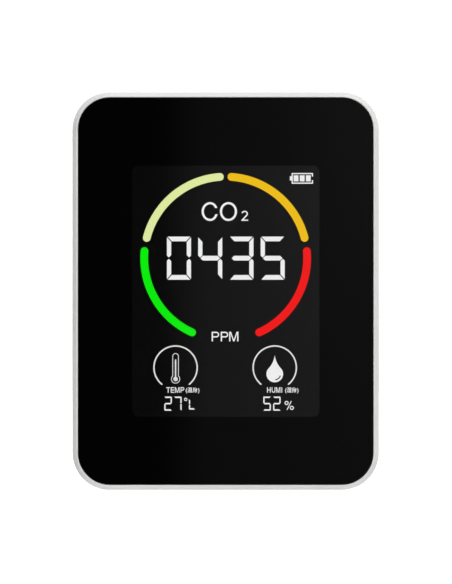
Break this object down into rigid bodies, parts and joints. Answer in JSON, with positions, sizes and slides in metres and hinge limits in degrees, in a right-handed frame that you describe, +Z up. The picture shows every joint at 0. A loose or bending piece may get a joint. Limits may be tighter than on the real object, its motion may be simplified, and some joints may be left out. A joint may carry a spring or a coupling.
{
  "type": "carbon dioxide monitor",
  "caption": "White rounded desktop carbon dioxide monitor with a black glossy front, gauge-ring segment display, side power button, rear grille and fold-out stand.",
  "frame": {"origin": "middle of the flat underside, at the centre of the case's depth and width", "axes": "+Z up, -Y out of the front panel towards the viewer, +X to the viewer's right"},
  "size_m": [0.091, 0.03, 0.118],
  "materials": {
    "shell_white": "satin moulded ABS",
    "lens_clear": "polished acrylic",
    "print_black": "screen-printed black",
    "tape_black": "foam-backed tape",
    "polariser_dark": "dark polarising film",
    "display_glass": "clear float glass",
    "ink_white": "lit white segment",
    "ink_green": "lit green segment",
    "ink_lime": "lit pale yellow-green segment",
    "ink_amber": "lit amber segment",
    "ink_red": "lit red segment",
    "diffuser_white": "matte diffusing film",
    "guide_clear": "clear acrylic light guide",
    "reflector_silver": "silvered film",
    "tray_white": "white reflective polycarbonate",
    "circuit_green": "solder mask over glass-epoxy",
    "strip_white": "white solder mask",
    "lamp_yellow": "phosphor window",
    "ribbon_amber": "polyimide film",
    "connector_ivory": "nylon",
    "chip_black": "moulded epoxy",
    "ceramic_tan": "chip capacitors",
    "sensor_gold": "gold-plated optical cell",
    "membrane_white": "microporous filter",
    "foam_black": "closed-cell foam",
    "mesh_black": "woven dust mesh",
    "cell_silver": "laminated pouch",
    "lead_red": "silicone insulation",
    "lead_black": "silicone insulation",
    "socket_steel": "nickel-plated shell",
    "button_white": "satin moulded ABS",
    "pin_steel": "stainless rod",
    "screw_zinc": "zinc-plated, cross head",
    "grip_grey": "silicone rubber"
  },
  "bodies": {
    "case": {"backlight_diffuser": "diffuser_white", "backlight_leds": "lamp_yellow", "backlight_reflector": "reflector_silver", "backlight_tray": "tray_white", "battery_cell": "cell_silver", "battery_foam": "foam_black", "battery_lead_black": "lead_black", "battery_lead_red": "lead_red", "battery_mark": "ink_white", "battery_plug": "connector_ivory", "board_chips": "chip_black", "board_passives": "ceramic_tan", "board_screws": "screw_zinc", "buzzer": "chip_black", "case_screws": "screw_zinc", "charge_socket_blade": "chip_black", "charge_socket_shell": "socket_steel", "climate_sensor": "circuit_green", "co2_sensor_board": "circuit_green", "co2_sensor_cell": "sensor_gold", "co2_sensor_header": "chip_black", "co2_sensor_membranes": "membrane_white", "dial_rings": "ink_white", "display_ribbon": "ribbon_amber", "drop_mark": "ink_white", "front_frame": "shell_white", "front_lens": "lens_clear", "front_polariser": "polariser_dark", "humidity_digits": "ink_white", "lcd_bottom_glass": "display_glass", "lcd_top_glass": "display_glass", "led_strip": "strip_white", "lens_mask": "print_black", "lens_tape": "tape_black", "light_guide": "guide_clear", "main_board": "circuit_green", "main_digits": "ink_white", "power_switch_body": "chip_black", "rear_cover": "shell_white", "rear_polariser": "polariser_dark", "ribbon_connector": "connector_ivory", "ring_segment_amber": "ink_amber", "ring_segment_green": "ink_green", "ring_segment_lime": "ink_lime", "ring_segment_red": "ink_red", "sensor_seal": "foam_black", "stand_hinge_pin": "pin_steel", "temperature_digits": "ink_white", "thermometer_mark": "ink_white", "unit_marks": "ink_white", "vent_mesh": "mesh_black"},
    "stand": {"stand": "shell_white", "stand_grip": "grip_grey"},
    "power_button": {"power_button": "button_white"},
    "switch_plunger": {"power_switch_plunger": "connector_ivory"}
  },
  "joints": [
    {"name": "stand_hinge", "type": "hinge", "parent": "case", "child": "stand", "pos_m": [0, 0.01295, 0.062], "axis": [1, 0, 0], "range_deg": [0, 45]},
    {"name": "power_button_press", "type": "slide", "parent": "case", "child": "power_button", "axis": [-1, 0, 0], "range_m": [0, 0.0005]},
    {"name": "switch_plunger_press", "type": "slide", "parent": "case", "child": "switch_plunger", "axis": [-1, 0, 0], "range_m": [0, 0.0005]}
  ],
  "couplings": [
    {"joint": "switch_plunger_press", "follows": "power_button_press", "ratio": 1}
  ]
}
